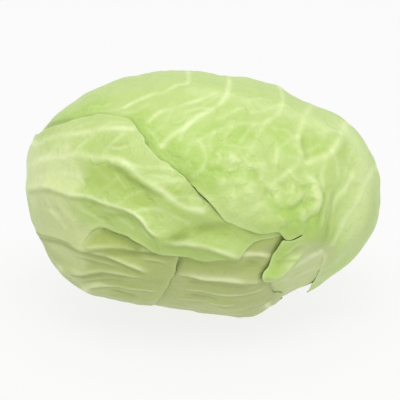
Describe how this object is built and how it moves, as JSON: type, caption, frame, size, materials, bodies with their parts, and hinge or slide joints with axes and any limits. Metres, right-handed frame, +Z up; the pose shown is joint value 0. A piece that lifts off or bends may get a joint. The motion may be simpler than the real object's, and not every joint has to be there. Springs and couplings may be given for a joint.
{
  "type": "white cabbage",
  "caption": "Whole white cabbage head lying on its side: broad overlapping wrapper leaves with thick midribs round a packed heart on a cut stalk.",
  "frame": {"origin": "on the resting surface, under the middle of the head's bounding box", "axes": "+Z up; +X along the head's longest width, to the right as seen from the leaf tips; +Y towards the cut stalk at the back"},
  "size_m": [0.2396, 0.2062, 0.1657],
  "materials": {
    "stalk": "matt, pale green white, fibrous cut face",
    "heart": "satin, pale cream green",
    "leaf": "waxy satin, yellow green with paler veins",
    "leaf_shaded": "waxy satin, pale grey green with paler veins"
  },
  "bodies": {
    "root": {"stalk": "stalk", "heart": "heart", "leaf_upper_left": "leaf", "leaf_under": "leaf_shaded", "leaf_right": "leaf_shaded", "leaf_lower_right": "leaf_shaded", "leaf_lower_left": "leaf_shaded", "leaf_left": "leaf", "leaf_top": "leaf"}
  },
  "joints": []
}
